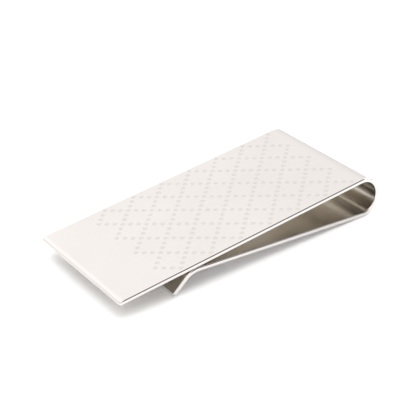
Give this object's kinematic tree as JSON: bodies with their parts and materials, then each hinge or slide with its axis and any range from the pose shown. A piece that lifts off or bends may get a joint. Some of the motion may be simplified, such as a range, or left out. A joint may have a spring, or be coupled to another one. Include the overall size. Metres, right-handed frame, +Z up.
{
  "type": "money clip",
  "caption": "Folded spring-metal money clip with an engraved lattice plate, a return bend, a sprung arm with a grip ridge, and a thumb lip.",
  "frame": {"origin": "centre of the footprint, on the surface the clip stands on", "axes": "+X along the clip from the plate's free end to the bend, +Y across the clip, +Z up; the plate faces up and rises 4.7 degrees towards the bend"},
  "size_m": [0.052, 0.025, 0.0073],
  "materials": {
    "polished_steel": "polished"
  },
  "bodies": {
    "front_plate": {"front_plate": "polished_steel"},
    "bend_entry": {"bend_entry": "polished_steel"},
    "bend_upper": {"bend_upper": "polished_steel"},
    "bend_lower": {"bend_lower": "polished_steel"},
    "bend_exit": {"bend_exit": "polished_steel"},
    "arm_root": {"arm_root": "polished_steel"},
    "arm_rear": {"arm_rear": "polished_steel"},
    "arm_middle": {"arm_middle": "polished_steel"},
    "arm_front": {"arm_front": "polished_steel"},
    "grip_ridge": {"grip_ridge": "polished_steel", "thumb_lip": "polished_steel"}
  },
  "joints": [
    {"name": "bend_entry_flex", "type": "hinge", "parent": "front_plate", "child": "bend_entry", "pos_m": [0.02201, 0, 0.00729], "axis": [0, -1, 0], "range_deg": [0, 0.5], "stiffness_Nm_per_rad": 103},
    {"name": "bend_upper_flex", "type": "hinge", "parent": "bend_entry", "child": "bend_upper", "pos_m": [0.02479, 0, 0.00633], "axis": [0, -1, 0], "range_deg": [0, 1.05], "stiffness_Nm_per_rad": 51.3},
    {"name": "bend_lower_flex", "type": "hinge", "parent": "bend_upper", "child": "bend_lower", "pos_m": [0.02596, 0, 0.00364], "axis": [0, -1, 0], "range_deg": [0, 1.07], "stiffness_Nm_per_rad": 51.3},
    {"name": "bend_exit_flex", "type": "hinge", "parent": "bend_lower", "child": "bend_exit", "pos_m": [0.02478, 0, 0.00096], "axis": [0, -1, 0], "range_deg": [0, 1.04], "stiffness_Nm_per_rad": 51.3},
    {"name": "arm_root_flex", "type": "hinge", "parent": "bend_exit", "child": "arm_root", "pos_m": [0.022, 0, 0.00001], "axis": [0, -1, 0], "range_deg": [0, 1.9], "stiffness_Nm_per_rad": 25.1},
    {"name": "arm_rear_flex", "type": "hinge", "parent": "arm_root", "child": "arm_rear", "pos_m": [0.0137, 0, 0.00072], "axis": [0, -1, 0], "range_deg": [0, 2.26], "stiffness_Nm_per_rad": 16.6},
    {"name": "arm_middle_flex", "type": "hinge", "parent": "arm_rear", "child": "arm_middle", "pos_m": [0.0054, 0, 0.00143], "axis": [0, -1, 0], "range_deg": [0, 1.52], "stiffness_Nm_per_rad": 16.6},
    {"name": "arm_front_flex", "type": "hinge", "parent": "arm_middle", "child": "arm_front", "pos_m": [-0.0029, 0, 0.00214], "axis": [0, -1, 0], "range_deg": [0, 0.789], "stiffness_Nm_per_rad": 16.6},
    {"name": "grip_ridge_flex", "type": "hinge", "parent": "arm_front", "child": "grip_ridge", "pos_m": [-0.0112, 0, 0.00285], "axis": [0, -1, 0], "range_deg": [0, 0.119], "stiffness_Nm_per_rad": 33.1}
  ]
}
